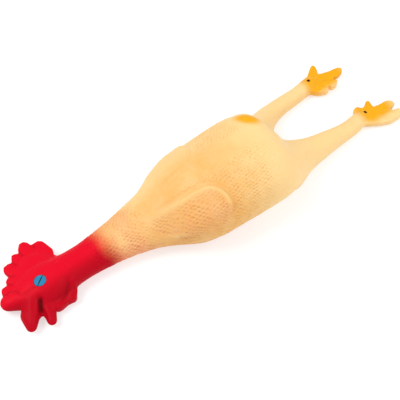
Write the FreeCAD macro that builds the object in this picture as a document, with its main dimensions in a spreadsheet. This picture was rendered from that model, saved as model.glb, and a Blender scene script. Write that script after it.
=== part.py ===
import FreeCAD, Part
import math
import os
import Sketcher

# A rubber chicken lying on its belly, head towards -X, feet towards +X, comb on the +Y side.
# One hollow latex casting, divided where it flexes, with a small squeaker in its underside.
# The origin is the middle of the flat belly patch that it rests on. Lengths are millimetres.

SIZES = {
    "wall": 2.2,
    "head_wall": 3.0,
    "sink": 1.0,
    "joint_gap": 0.5,
    "reach": 400.0,
    "panel_x": 2.0,
    "panel_y": -4.0,
    "panel_long": 40.0,
    "panel_wide": 30.0,
    "panel_floor": 45.0,
    "panel_gap": 0.6,
    "wing_x": -40.0,
    "wing_long": 31.0,
    "wing_wide": 27.0,
    "wing_thick": 8.5,
    "wing_tilt": 49.0,
    "wing_inset": 3.5,
    "tail_x": 53.0,
    "tail_y": 16.0,
    "tail_z": 74.0,
    "tail_long": 8.0,
    "tail_wide": 12.0,
    "tail_rise": 8.5,
    "comb_thick": 7.0,
    "comb_base": 8.5,
    "beak_thick": 11.0,
    "beak_base": 4.0,
    "wattle_thick": 9.0,
    "wattle_base": 3.5,
    "fold_thick": 15.0,
    "fold_base": 1.0,
    "toe_thick": 9.5,
    "toe_base": 1.0,
    "vent_radius": 1.5,
    "vent_floor": 6.0,
    "eye_x": -202.0,
    "eye_y": 14.0,
    "eye_long": 7.2,
    "eye_wide": 5.6,
    "eye_rise": 1.6,
    "eye_height": 26.3,
    "eye_inlay": 0.8,
    "eye_turn": -17.0,
    "squeak_x": 46.0,
    "squeak_y": -5.0,
    "socket_radius": 16.0,
    "socket_low": 0.6,
    "socket_top": 12.0,
    "case_radius": 12.0,
    "case_wall": 1.2,
    "case_low": 2.0,
    "case_top": 13.5,
    "case_port": 1.5,
    "cap_thick": 1.5,
    "cap_hole_radius": 1.1,
    "cap_hole_ring": 6.0,
    "block_long": 9.0,
    "block_wide": 6.0,
    "block_low": 7.0,
    "reed_long": 7.0,
    "reed_wide": 2.6,
    "reed_thick": 0.4,
    "reed_gap": 0.3,
    "wedge_long": 1.6,
    "wedge_drop": 1.6,
}

# Cross-sections of each run of skin: distance along X, middle Y, half width, half height.
STATIONS = {
    "trunk": [
        (-122, 13, 21, 17), (-107, 12, 23, 18.5), (-88, 9, 28, 22.5),
        (-69, 4, 36, 29), (-51, -2, 45.5, 36.5),
        (-31, -4, 51, 40.5), (1, -4, 52, 41.5), (33, -5, 54, 43), (56, -5, 52.5, 41.5),
        (68, -3, 51, 37), (78, 0, 49, 30), (88, 5, 46.5, 22.5), (98, 9, 43, 15.5),
    ],
    "neck": [
        (-74, 6, 34, 27), (-88, 9, 28, 22.5), (-107, 12, 23, 18.5), (-127, 13, 20.5, 16.5),
        (-147, 14, 18.5, 15), (-162, 14, 18, 14.5), (-176, 14, 18, 14.5),
    ],
    "head": [
        (-140, 13.5, 19, 15), (-162, 14, 18, 14.5), (-175, 14.5, 20, 14.5), (-190, 15, 24, 14.3),
        (-205, 16, 23.5, 13.5), (-218, 17, 19, 11.5), (-229, 18, 12, 8.5), (-235, 18, 7, 6),
    ],
    "left_leg": [
        (78, -24, 25, 23), (96, -19, 21, 20), (110, -18.5, 17.3, 17), (123, -18.5, 14.8, 14.5),
        (136, -17.5, 13, 12.8), (150, -17.5, 11.2, 11), (165, -17.5, 9.8, 9.6), (180, -16.5, 9.6, 9),
        (196, -14, 9, 7),
    ],
    "right_leg": [
        (82, 26, 23, 21), (98, 41, 16.5, 16), (112, 48.5, 12.4, 12.4), (128, 52.5, 10, 10),
        (143, 54, 9.4, 9.4), (158, 55, 8.9, 8.9), (172, 57, 9, 8.6), (188, 58, 9, 7),
    ],
}

# Ball joints of the skin: centre X, centre Y, centre height, ball radius.
BALLS = {
    "neck_base": (-104, 11.5, 18.0, 27.5),
    "head_base": (-160, 14, 13.5, 21.0),
    "left_hip": (104, -19, 17.5, 22.0),
    "left_knee": (136, -17.5, 11.8, 15.2),
    "left_ankle": (166, -17.5, 8.6, 11.4),
    "right_hip": (106, 45.5, 13.5, 17.0),
    "right_knee": (136, 53.5, 8.8, 11.6),
    "right_ankle": (164, 55.5, 7.8, 10.4),
}

# Flat moulded features seen from above. A tip is (x, y, radius), any other point is a corner (x, y).
OUTLINES = {
    "comb": [
        (-171, 30), (-171.5, 43), (-176.5, 60, 3), (-185.5, 60), (-192, 68.5, 4), (-199.5, 60),
        (-205, 62, 3.5), (-211.5, 54), (-219, 55, 3.5), (-223, 42), (-228, 39, 2.5), (-229, 33.5),
        (-236.5, 31.5, 3), (-233, 26), (-205, 20), (-184, 20),
    ],
    "beak": [(-232, 30), (-242, 21, 7), (-235, 7), (-222, 9), (-222, 25)],
    "wattles": [
        (-236, 9), (-233.5, -20, 4), (-217, -9), (-213.5, -25.5, 4.5), (-201, -14), (-202, 4), (-226, 12),
    ],
    "throat_fold": [
        (-203, -12), (-200, -16.5, 3), (-192, -17), (-184, -18, 3), (-174, -5), (-178, 4), (-200, 2),
    ],
    "left_foot": [
        (182, -10), (194, -1, 3), (202, -6), (215, -1, 3), (213, -12), (237.5, -19, 5), (227.5, -29),
        (231.5, -38, 5), (200, -33), (184, -26),
    ],
    "right_foot": [
        (174, 63), (187, 67), (201, 75, 3), (198, 62), (222.5, 52.5, 4.5), (206, 44.5), (206, 37.5, 3.5),
        (195.5, 38), (194.5, 33.5, 2.5), (180, 37), (170, 47),
    ],
}

VENTS = {"left_foot": (199.5, -14), "right_foot": (178.5, 58.5)}
PARTS = []

doc = FreeCAD.newDocument("rubber_chicken")
sheet = doc.addObject("Spreadsheet::Sheet", "sheet")


def write_sheet():
    """Every driving size gets a row: its name, and a cell with that alias."""
    rows = dict(SIZES)
    for run, stations in STATIONS.items():
        for number, values in enumerate(stations):
            for letter, value in zip(("along", "across", "width", "height"), values):
                rows[f"{run}_{letter}_{number}"] = value
    for ball, values in BALLS.items():
        for letter, value in zip(("along", "across", "up", "radius"), values):
            rows[f"{ball}_{letter}"] = value
    for foot, values in VENTS.items():
        rows[f"{foot}_vent_along"], rows[f"{foot}_vent_across"] = values
    for row, (name, value) in enumerate(rows.items(), start=1):
        sheet.set(f"A{row}", name)
        sheet.set(f"B{row}", str(value))
        sheet.setAlias(f"B{row}", name)


def bind(item, **formulas):
    """Binds properties to sheet formulas: x, y and z mean the placement, and $ stands for the sheet."""
    places = {"x": ".Placement.Base.x", "y": ".Placement.Base.y", "z": ".Placement.Base.z"}
    for name, formula in formulas.items():
        item.setExpression(places.get(name, name), str(formula).replace("$", "sheet."))
    return item


def solid(kind, name, turn=None, **formulas):
    """A Part primitive whose sizes and place follow the sheet."""
    item = doc.addObject(kind, name)
    if turn:
        item.Placement.Rotation = turn
    return bind(item, **formulas)


def cut(name, base, tools):
    """The base with every tool taken away."""
    tool = tools[0]
    if len(tools) > 1:
        tool = doc.addObject("Part::MultiFuse", name + "_tools")
        tool.Shapes = tools
    item = doc.addObject("Part::Cut", name)
    item.Base = base
    item.Tool = tool
    return item


def gather(kind, name, shapes):
    """A fuse or a common of several shapes."""
    item = doc.addObject("Part::" + kind, name)
    item.Shapes = shapes
    return item


def keep(item, name):
    """Marks a finished sub-part."""
    item.Label = name
    PARTS.append(item)
    return item


def tube(run, name, wall=None, closed=False):
    """Loft through a run's oval sections, drawn in by a wall, and short of the last one if closed."""
    across = FreeCAD.Rotation(FreeCAD.Vector(1, 1, 1), 120)
    draw_in = f" - ${wall}" if wall else ""
    sections = []
    for number in range(len(STATIONS[run]) - closed):
        oval = solid(
            "Part::Ellipse", f"{name}_{number}", across,
            MajorRadius=f"${run}_width_{number}{draw_in}",
            MinorRadius=f"${run}_height_{number}{draw_in}",
            x=f"${run}_along_{number}",
            y=f"${run}_across_{number}",
            z=f"${run}_height_{number} - $sink",
        )
        sections.append(oval)
    loft = doc.addObject("Part::Loft", name)
    loft.Sections = sections
    loft.Solid = True
    return loft


def ball(name, joint, gap=0):
    """The sphere that a joint turns in, with room round it if there is a gap."""
    return solid(
        "Part::Sphere", name, Radius=f"${joint}_radius + {gap} * $joint_gap",
        x=f"${joint}_along", y=f"${joint}_across", z=f"${joint}_up",
    )


def half(name, joint, way):
    """Everything on one side of a joint: towards the feet if way is 1, towards the head if -1."""
    start = f"${joint}_along" if way > 0 else f"${joint}_along - $reach"
    return slab(name, start, "-$reach / 2", "-$reach / 2", "$reach", "$reach", "$reach")


def slab(name, x, y, z, long, wide, high):
    """A box by its low corner and its three sides."""
    return solid("Part::Box", name, x=x, y=y, z=z, Length=long, Width=wide, Height=high)


def rod(name, x, y, z, radius, high):
    """An upright cylinder by the middle of its lower end."""
    return solid("Part::Cylinder", name, x=x, y=y, z=z, Radius=radius, Height=high)


def egg(name, x, y, z, long, wide, high, turn=None):
    """An ellipsoid by its middle and its half sizes before it is turned."""
    return solid(
        "Part::Ellipsoid", name, turn, x=x, y=y, z=z, Radius1=high, Radius2=long, Radius3=wide,
    )


def oval_rod(name, x, y, z, long, wide, high):
    """An upright rod with an oval section."""
    oval = solid("Part::Ellipse", name + "_oval", x=x, y=y, z=z, MajorRadius=long, MinorRadius=wide)
    item = doc.addObject("Part::Extrusion", name)
    item.Base = oval
    item.DirMode = "Custom"
    item.Dir = FreeCAD.Vector(0, 0, 1)
    item.Solid = True
    return bind(item, LengthFwd=high)


def from_ball(name, shape, start, way):
    """What a joint carries of a shape: its ball and everything beyond."""
    sides = [ball(name + "_ball", start), half(name + "_half", start, way)]
    return gather("MultiCommon", name + "_length", [shape, gather("MultiFuse", name + "_reach", sides)])


def run_of_skin(name, shape, start, end, way, holes=()):
    """A length of skin from the ball of its first joint to the cup of the next one."""
    length = from_ball(name, shape, start, way)
    tools = [FLOOR, *holes]
    if end:
        tools += [ball(name + "_cup", end, gap=1), half(name + "_beyond", end, way)]
    return cut(name, length, tools)


def tip_arc(before, tip, after):
    """The rounded tip between two corners: start, middle and end of its arc."""
    corner_a, corner_b = FreeCAD.Vector(*before[:2]), FreeCAD.Vector(*after[:2])
    top, radius = FreeCAD.Vector(*tip[:2]), tip[2]
    centre = top - (top - (corner_a + corner_b) * 0.5).normalize() * radius
    ends = []
    for corner, other in ((corner_a, corner_b), (corner_b, corner_a)):
        gap = centre - corner
        lean = math.asin(radius / gap.Length)
        reach = math.sqrt(gap.Length**2 - radius**2)
        heading = math.atan2(gap.y, gap.x)
        touches = []
        for angle in (heading - lean, heading + lean):
            touches.append(corner + FreeCAD.Vector(math.cos(angle), math.sin(angle)) * reach)
        ends.append(max(touches, key=lambda point: point.distanceToPoint(other)))
    return ends[0], top, ends[1]


def outline_edges(points):
    """A closed outline of straight flanks and rounded tips."""
    corners = []
    edges = []
    for number, point in enumerate(points):
        if len(point) == 2:
            corners.append((FreeCAD.Vector(*point),) * 2)
            continue
        start, top, end = tip_arc(points[number - 1], point, points[(number + 1) % len(points)])
        edges.append(Part.Arc(start, top, end))
        corners.append((start, end))
    for (_, end), (start, _) in zip(corners, corners[1:] + corners[:1]):
        edges.append(Part.LineSegment(end, start))
    return edges


def plate(name, outline, base, thick):
    """A flat moulded feature: its outline padded to its thickness."""
    body = doc.addObject("PartDesign::Body", name + "_plate")
    sketch = body.newObject("Sketcher::SketchObject", name + "_outline")
    plane = [item for item in body.Origin.OriginFeatures if item.Role == "XY_Plane"][0]
    sketch.AttachmentSupport = [(plane, "")]
    sketch.MapMode = "FlatFace"
    sketch.addGeometry(outline_edges(OUTLINES[outline]), False)
    pad = body.newObject("PartDesign::Pad", name + "_pad")
    pad.Profile = sketch
    bind(pad, Length=thick)
    return bind(body, z=base)


def make_trunk():
    """The hollow trunk, the dome of its back that gives way, and the rim that grips the squeaker."""
    whole = tube("trunk", "trunk_outside")
    shell = cut("trunk_shell", whole, [tube("trunk", "trunk_inside", "wall", closed=True)])
    sizes = ("$panel_x", "$panel_y", "$panel_floor")
    window = oval_rod("window", *sizes, "$panel_long + $panel_gap", "$panel_wide + $panel_gap", "$reach")
    bore = rod("socket_bore", "$squeak_x", "$squeak_y", "-$sink", "$socket_radius", "$socket_top + $sink")
    tools = [FLOOR, window, bore, ball("neck_cup", "neck_base", gap=1), half("neck_side", "neck_base", -1)]
    tools += [ball("left_hip_cup", "left_hip", gap=1), ball("right_hip_cup", "right_hip", gap=1)]
    keep(cut("torso", shell, tools), "torso_skin")
    cover = oval_rod("cover", *sizes, "$panel_long", "$panel_wide", "$reach")
    keep(gather("MultiCommon", "panel", [shell, cover]), "back_panel")
    deep = "$socket_top - $socket_low"
    collar = rod("collar", "$squeak_x", "$squeak_y", "$socket_low", "$socket_radius", deep)
    bore = rod("collar_bore", "$squeak_x", "$squeak_y", "0", "$case_radius", "$reach")
    keep(cut("rim", collar, [bore]), "squeaker_socket")
    return whole


def make_wings_and_tail(trunk):
    """The raised wings on both flanks and the short tail, each lying on the skin of the trunk."""
    for side, way in (("left", 1), ("right", -1)):
        tilt = way * SIZES["wing_tilt"]
        turn = FreeCAD.Rotation(FreeCAD.Vector(1, 0, 0), tilt)
        out = f"{way} * ($trunk_width_5 - $wing_inset) * sin($wing_tilt * 1 deg)"
        middle = f"$trunk_across_5 - {out}"
        up = "$trunk_height_5 - $sink + ($trunk_height_5 - $wing_inset) * cos($wing_tilt * 1 deg)"
        bump = egg(side + "_bump", "$wing_x", middle, up, "$wing_long", "$wing_wide", "$wing_thick", turn)
        keep(cut(side + "_wing_cut", bump, [trunk]), side + "_wing")
    bump = egg("tail_bump", "$tail_x", "$tail_y", "$tail_z", "$tail_long", "$tail_wide", "$tail_rise")
    keep(cut("tail_cut", bump, [trunk]), "tail_nub")


def make_neck_and_head():
    """The hollow neck and head, and the flat features round the head."""
    inside = tube("neck", "neck_inside", "wall")
    shell = cut("neck_shell", tube("neck", "neck_outside"), [inside])
    keep(run_of_skin("neck", shell, "neck_base", "head_base", -1), "neck_skin")
    whole = tube("head", "head_outside")
    shell = cut("head_shell", whole, [tube("head", "head_inside", "head_wall", closed=True)])
    inlay = rod("eye_inlay_bore", "$eye_x", "$eye_y", "-$sink", "$eye_wide", "$eye_inlay + $sink")
    keep(run_of_skin("head", shell, "head_base", None, -1, holes=[inlay]), "head_skin")
    taken = [whole]
    sizes = {"comb": "comb", "beak": "beak", "wattles": "wattle", "throat_fold": "fold"}
    for feature, size in sizes.items():
        flat = plate(feature, feature, f"${size}_base", f"${size}_thick")
        keep(cut(feature + "_cut", flat, taken), feature)
        taken = [*taken, flat]
    turn = FreeCAD.Rotation(FreeCAD.Vector(0, 0, 1), SIZES["eye_turn"])
    pad = egg("eye_pad", "$eye_x", "$eye_y", "$eye_height", "$eye_long", "$eye_wide", "$eye_rise", turn)
    keep(cut("eye_cut", pad, [whole]), "right_eye")
    keep(rod("eye_inlay", "$eye_x", "$eye_y", "0", "$eye_wide", "$eye_inlay"), "left_eye")


def make_leg(side):
    """A thigh, a shank and a foot with its toes, spur and vent hole."""
    whole = tube(side + "_leg", side + "_leg_outside")
    shell = cut(side + "_leg_shell", whole, [tube(side + "_leg", side + "_leg_inside", "wall")])
    hip, knee, ankle = (f"{side}_{joint}" for joint in ("hip", "knee", "ankle"))
    keep(run_of_skin(side + "_upper", shell, hip, knee, 1), side + "_thigh")
    keep(run_of_skin(side + "_lower", shell, knee, ankle, 1), side + "_shank")
    toes = plate(side + "_toes", side + "_foot", "$toe_base", "$toe_thick")
    root = from_ball(side + "_root", whole, ankle, 1)
    foot = gather("MultiFuse", side + "_foot_fused", [root, toes])
    name = side + "_foot_vent"
    vent = rod(name, f"${name}_along", f"${name}_across", "$vent_floor", "$vent_radius", "$reach")
    keep(cut(side + "_foot_cut", foot, [FLOOR, vent]), side + "_foot")


def make_cap():
    """The squeaker's face plate with one middle hole and a ring of six."""
    body = doc.addObject("PartDesign::Body", "cap")
    plane = [item for item in body.Origin.OriginFeatures if item.Role == "XY_Plane"][0]
    circles = {
        "disc": (0, "$case_radius - $case_wall"),
        "middle_hole": (0, "$cap_hole_radius"),
        "ring_hole": (SIZES["cap_hole_ring"], "$cap_hole_radius"),
    }
    sketches = {}
    for name, (along, radius) in circles.items():
        sketch = body.newObject("Sketcher::SketchObject", name)
        sketch.AttachmentSupport = [(plane, "")]
        sketch.MapMode = "FlatFace"
        sketch.addGeometry(Part.Circle(FreeCAD.Vector(along, 0), FreeCAD.Vector(0, 0, 1), 1), False)
        sketch.addConstraint(Sketcher.Constraint("Radius", 0, 1))
        bind(sketch, **{"Constraints[0]": radius})
        sketches[name] = sketch
    pad = body.newObject("PartDesign::Pad", "disc_pad")
    pad.Profile = sketches["disc"]
    bind(pad, Length="$cap_thick")
    for name in ("middle_hole", "ring_hole"):
        pocket = body.newObject("PartDesign::Pocket", name + "_pocket")
        pocket.Profile = sketches[name]
        pocket.Type = "ThroughAll"
        pocket.Midplane = True
    doc.recompute()
    ring = body.newObject("PartDesign::PolarPattern", "hole_ring")
    ring.Originals = [pocket]
    ring.Axis = (sketches["ring_hole"], ["N_Axis"])
    ring.Angle = 360
    ring.Occurrences = 6
    body.Tip = ring
    keep(bind(body, x="$squeak_x", y="$squeak_y", z="$case_low"), "squeaker_cap")


def make_squeaker():
    """The squeaker: a cup, its perforated face, and the reed on its block, held by a wedge."""
    place = ("$squeak_x", "$squeak_y")
    outside = rod("case_outside", *place, "$case_low", "$case_radius", "$case_top - $case_low")
    room = "$case_top - $case_wall"
    inside = rod("case_inside", *place, "0", "$case_radius - $case_wall", room)
    port = rod("case_port_hole", *place, "0", "$case_port", "$reach")
    keep(cut("case", outside, [inside, port]), "squeaker_case")
    make_cap()
    left, near = "$squeak_x - $block_long / 2", "$squeak_y - $block_wide / 2"
    high = f"{room} - $block_low"
    block = slab("block_whole", left, near, "$block_low", "$block_long", "$block_wide", high)
    slot = slab(
        "block_slot", "$squeak_x - $case_port", "$squeak_y - $case_port / 2", "0",
        "$case_port * 2", "$case_port", "$reach",
    )
    keep(cut("block", block, [slot]), "reed_block")
    side = "$squeak_y - $reed_wide / 2"
    root = f"{left} + $wedge_long + $reed_gap"
    low = "$block_low - $reed_gap - $reed_thick"
    keep(slab("reed_strip", root, side, low, "$reed_long", "$reed_wide", "$reed_thick"), "reed")
    under = "$block_low - $wedge_drop"
    keep(slab("wedge", left, side, under, "$wedge_long", "$reed_wide", "$wedge_drop"), "reed_wedge")


def check_and_write():
    """Stops on any failed object, then writes one file for each sub-part."""
    doc.recompute()
    failed = [item.Name for item in doc.Objects if "Invalid" in item.State or "Error" in item.State]
    broken = [item.Label for item in PARTS if item.Shape.isNull() or not item.Shape.isValid()]
    several = [item.Label for item in PARTS if len(item.Shape.Solids) != 1]
    if failed or broken or several:
        raise SystemExit(f"failed {failed}, broken {broken}, not one solid {several}")
    os.makedirs("parts", exist_ok=True)
    for item in PARTS:
        item.Shape.exportStep(f"parts/{item.Label}.step")
        print(item.Label, round(item.Shape.Volume), "mm3")


write_sheet()
doc.recompute()
FLOOR = slab("floor", "-$reach", "-$reach", "-$reach", "$reach * 2", "$reach * 2", "$reach")
TRUNK = make_trunk()
make_wings_and_tail(TRUNK)
make_neck_and_head()
make_leg("left")
make_leg("right")
make_squeaker()
check_and_write()
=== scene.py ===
"""A rubber chicken: a hollow latex casting that bends at its joints, with a squeaker in its underside.

Lengths are written in millimetres and turned into metres where a mesh is made. X runs from the
head to the feet, Y towards the comb and Z up, and the belly rests on the plane Z = 0.
"""
import logging
import math
from dataclasses import dataclass
from enum import Enum
from typing import Callable, Sequence

import bpy
import numpy as np
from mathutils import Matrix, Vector


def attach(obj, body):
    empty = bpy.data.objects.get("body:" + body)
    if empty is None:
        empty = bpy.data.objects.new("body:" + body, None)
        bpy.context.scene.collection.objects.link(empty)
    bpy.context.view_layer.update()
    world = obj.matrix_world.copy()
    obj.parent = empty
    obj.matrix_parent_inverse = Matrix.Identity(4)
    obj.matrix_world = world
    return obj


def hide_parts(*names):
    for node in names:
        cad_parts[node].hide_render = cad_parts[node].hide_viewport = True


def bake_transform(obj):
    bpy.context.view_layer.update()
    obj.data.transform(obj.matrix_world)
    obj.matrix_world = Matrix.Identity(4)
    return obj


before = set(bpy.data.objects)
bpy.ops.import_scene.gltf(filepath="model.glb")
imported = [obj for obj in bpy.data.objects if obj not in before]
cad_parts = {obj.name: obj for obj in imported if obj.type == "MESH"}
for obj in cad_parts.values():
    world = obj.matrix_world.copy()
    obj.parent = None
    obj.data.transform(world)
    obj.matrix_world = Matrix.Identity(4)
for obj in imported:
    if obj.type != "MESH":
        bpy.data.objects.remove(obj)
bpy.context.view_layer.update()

MM = 0.001
SEED = 7
log = logging.getLogger("rubber_chicken")

Station = tuple[float, float, float, float]
Points = np.ndarray
Mask = np.ndarray


class Spray(Enum):
    """The paints sprayed over the bare latex, and the painted shade and painted highlight laid over them,
    each kept as a mask on the skin.
    """

    RED = "red_spray"
    ORANGE = "orange_spray"
    # Pink blush at the neck and wings, and painted shade on the lower side.
    BLUSH_AND_SHADE = "blush_and_low_shade"
    # Painted shade in the face's hollows, on the near side and under the head.
    DEPTH = "hollow_shade"
    # Painted shade in the pits.
    SHADED_PITS = "pit_shade"
    # Paler tone towards the legs and at the neck, and painted highlight on the far side and the wing's rim.
    PALE_AND_HIGHLIGHT = "pale_tone_and_highlight"
    # Painted shade inside the vent holes.
    SHADED_VENTS = "vent_shade"


# ---------------------------------------------------------------- small tools


def ease(low: float, high: float, value: Points) -> Mask:
    """Rises smoothly from 0 at the low value to 1 at the high one."""
    share = np.clip((value - low) / (high - low), 0.0, 1.0)
    return share * share * (3.0 - 2.0 * share)


def hill(distance: Points, width: float) -> Mask:
    """A soft rounded hill that is 1 at no distance."""
    return np.exp(-((distance / width) ** 2))


def ripple(place: Points, pitch: float, seed: int) -> Points:
    """Smooth wandering noise from a few sine waves, about -1 to 1.

    Args:
        place: points in millimetres, one to a row.
        pitch: length of its longest wave.
        seed: picks the directions of the waves.

    Returns:
        One value for each point.
    """
    chance = np.random.default_rng(seed)
    total = np.zeros(len(place))
    for octave in range(5):
        heading = chance.normal(size=3)
        heading /= np.linalg.norm(heading)
        wave = pitch / (1.0 + 0.45 * octave)
        phase = place @ heading * 2 * math.pi / wave + chance.uniform(0, 6.28)
        total += np.sin(phase) / (1.0 + 0.4 * octave)
    return total / 2.6


def distance_to_line(place: Points, line: Sequence[tuple[float, float]]) -> Points:
    """Distance of each point, seen from above, to a line through some corners."""
    best = np.full(len(place), 1e9)
    for start, end in zip(line, line[1:]):
        run = np.subtract(end, start)
        share = np.clip(((place[:, :2] - start) @ run) / (run @ run), 0, 1)
        best = np.minimum(best, np.linalg.norm(place[:, :2] - start - share[:, None] * run, axis=1))
    return best


def only(*objects: bpy.types.Object) -> bpy.types.Object:
    """Selects these objects alone and makes the first one active."""
    bpy.ops.object.select_all(action="DESELECT")
    for item in objects:
        item.select_set(True)
    bpy.context.view_layer.objects.active = objects[0]
    return objects[0]


def edit(item: bpy.types.Object) -> None:
    """Enters edit mode on one object with everything selected."""
    only(item)
    bpy.ops.object.mode_set(mode="EDIT")
    bpy.ops.mesh.select_all(action="SELECT")


def leave_edit() -> bpy.types.Object:
    """Leaves edit mode and returns the object that was edited."""
    bpy.ops.object.mode_set(mode="OBJECT")
    return bpy.context.object


def finish_with(item: bpy.types.Object, kind: str, **settings: object) -> bpy.types.Object:
    """Adds a modifier with these settings and applies it."""
    only(item)
    modifier = item.modifiers.new(kind.lower(), kind)
    for name, value in settings.items():
        setattr(modifier, name, value)
    bpy.ops.object.modifier_apply(modifier=modifier.name)
    return item


def settle(item: bpy.types.Object, name: str) -> bpy.types.Object:
    """Names a piece and moves its place, turn and scale into its mesh."""
    only(item)
    bpy.ops.object.transform_apply(location=True, rotation=True, scale=True)
    item.name = name
    item.data.name = name
    return item


def join(items: Sequence[bpy.types.Object], name: str) -> bpy.types.Object:
    """Joins several shapes into one mesh."""
    only(*items)
    bpy.ops.object.join()
    return settle(bpy.context.object, name)


def copy_of(item: bpy.types.Object, name: str) -> bpy.types.Object:
    """A copy with its own mesh."""
    double = item.copy()
    double.data = item.data.copy()
    double.name = name
    bpy.context.scene.collection.objects.link(double)
    return double


def read_points(item: bpy.types.Object) -> Points:
    """The mesh's points in millimetres."""
    flat = np.empty(len(item.data.vertices) * 3, np.float32)
    item.data.vertices.foreach_get("co", flat)
    return flat.reshape(-1, 3).astype(float) / MM


def read_normals(item: bpy.types.Object) -> Points:
    """The mesh's smooth normals."""
    flat = np.empty(len(item.data.vertices) * 3, np.float32)
    item.data.vertex_normals.foreach_get("vector", flat)
    return flat.reshape(-1, 3).astype(float)


def write_points(item: bpy.types.Object, place: Points) -> None:
    """Puts the mesh's points at these places, in millimetres."""
    item.data.vertices.foreach_set("co", (place * MM).astype(np.float32).ravel())
    item.data.update()


def write_values(item: bpy.types.Object, name: str, values: Points) -> None:
    """Keeps a number or a vector for each point of the mesh."""
    vector = values.ndim == 2
    layer = item.data.attributes.new(name, "FLOAT_VECTOR" if vector else "FLOAT", "POINT")
    layer.data.foreach_set("vector" if vector else "value", values.astype(np.float32).ravel())


# ---------------------------------------------------------------- rough shapes


def drawn_tube(stations: Sequence[Station]) -> bpy.types.Object:
    """A tube drawn ring by ring through oval stations, its lowest line a little under the floor plane.

    Args:
        stations: distance along X, middle Y, half width and half height of each ring.

    Returns:
        The closed tube, smoothed.
    """
    along, across, wide, high = stations[0]
    place = Vector((along, across, high - SINK)) * MM
    bpy.ops.mesh.primitive_circle_add(
        vertices=TUBE_SIDES, radius=MM, fill_type="NGON", location=place, rotation=(0, math.pi / 2, 0),
    )
    edit(settle(bpy.context.object, "tube"))
    bpy.ops.transform.resize(value=(1, wide, high), center_override=place)
    for (_, _, wide_a, high_a), (x, y, wide_b, high_b) in zip(stations, stations[1:]):
        step = Vector((x, y, high_b - SINK)) * MM - place
        place = place + step
        bpy.ops.mesh.extrude_region_move(TRANSFORM_OT_translate={"value": step})
        bpy.ops.transform.resize(value=(1, wide_b / wide_a, high_b / high_a), center_override=place)
    bpy.ops.mesh.select_all(action="SELECT")
    bpy.ops.mesh.normals_make_consistent(inside=False)
    return finish_with(leave_edit(), "SUBSURF", levels=2, render_levels=2)


def finger(nodes: Sequence[Station], middle: float, flat: float) -> bpy.types.Object:
    """A tapering finger of latex through some nodes, rounded at each and flattened.

    Args:
        nodes: X, Y, height above the middle plane, and radius of each node.
        middle: height of the plane that it is flattened towards.
        flat: its thickness as a share of its width.

    Returns:
        The balls and the cones between them, joined.
    """
    shapes = []
    for x, y, up, radius in nodes:
        bpy.ops.mesh.primitive_uv_sphere_add(
            segments=24, ring_count=14, radius=radius * MM, location=Vector((x, y, middle + up)) * MM,
        )
        shapes.append(bpy.context.object)
    for (xa, ya, za, ra), (xb, yb, zb, rb) in zip(nodes, nodes[1:]):
        run = Vector((xb - xa, yb - ya, zb - za))
        lean = math.asin(max(-1.0, min(1.0, (ra - rb) / run.length)))
        start = Vector((xa, ya, middle + za)) + run.normalized() * ra * math.sin(lean)
        end = Vector((xb, yb, middle + zb)) + run.normalized() * rb * math.sin(lean)
        bpy.ops.mesh.primitive_cone_add(
            vertices=24, radius1=ra * math.cos(lean) * MM, radius2=rb * math.cos(lean) * MM,
            depth=(end - start).length * MM, location=(start + end) / 2 * MM,
            rotation=run.to_track_quat("Z", "Y").to_euler(),
        )
        shapes.append(bpy.context.object)
    whole = join(shapes, "finger")
    edit(whole)
    bpy.ops.transform.resize(value=(1, 1, flat), center_override=(0, 0, middle * MM))
    return leave_edit()


def leaf(outline: Sequence[tuple[float, float]], low: float, high: float) -> bpy.types.Object:
    """A flat leaf of latex with a lobed outline.

    Args:
        outline: its corners from above, in order.
        low: height of its lower face.
        high: height of its upper face.

    Returns:
        The closed leaf.
    """
    bpy.ops.mesh.primitive_circle_add(vertices=len(outline), radius=MM, fill_type="NGON")
    flat = bpy.context.object
    for vertex, corner in zip(flat.data.vertices, outline):
        vertex.co = Vector((*corner, low)) * MM
    edit(flat)
    bpy.ops.mesh.quads_convert_to_tris()
    bpy.ops.mesh.extrude_region_move(TRANSFORM_OT_translate={"value": (0, 0, (high - low) * MM)})
    bpy.ops.mesh.select_all(action="SELECT")
    bpy.ops.mesh.normals_make_consistent(inside=False)
    return leave_edit()


def cylinder(place: tuple[float, float, float], radius: float, depth: float, sides: int) -> bpy.types.Object:
    """An upright cylinder about a place."""
    bpy.ops.mesh.primitive_cylinder_add(
        vertices=sides, radius=radius * MM, depth=depth * MM, location=Vector(place) * MM,
    )
    return bpy.context.object


def cut_away(item: bpy.types.Object, tool: bpy.types.Object, solver: str) -> None:
    """Cuts a tool out of a shape, and removes the tool."""
    finish_with(item, "BOOLEAN", object=tool, operation="DIFFERENCE", solver=solver)
    bpy.data.objects.remove(tool)


# ---------------------------------------------------------------- the chicken's own sizes

SINK = 1.0
TUBE_SIDES = 40
FLOOR_EDGE = 0.6

SPINE: tuple[Station, ...] = (
    (-238, 21, 4, 4), (-232, 20, 9, 7.5), (-222, 18, 17, 11), (-211, 16.5, 22, 13), (-198, 15.5, 24, 14.4),
    (-184, 14.5, 22, 14.6), (-172, 14, 19, 14.6), (-160, 14, 18, 14.5), (-146, 14, 18.6, 15),
    (-127, 13, 20.6, 16.5), (-107, 12, 23.4, 18.7), (-88, 9, 28, 22.6), (-78, 7, 31.3, 25.6),
    (-69, 4, 35.5, 29), (-60, 1, 40.7, 33.3), (-51, -2, 45.4, 36.8), (-41, -3, 49, 39.6),
    (-31, -4, 51.2, 41), (-10, -4, 52, 41.6), (12, -4.5, 53.2, 42.4), (33, -5, 54.4, 43.4),
    (50, -5.5, 53.4, 42.6), (60, -4.5, 52.4, 40.8), (68, -3, 51, 37), (76, -1.5, 49, 30.5), (83, 0, 45.5, 24),
    (89, 2, 38, 17.5), (94, 4, 27, 11.5),
)
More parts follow.
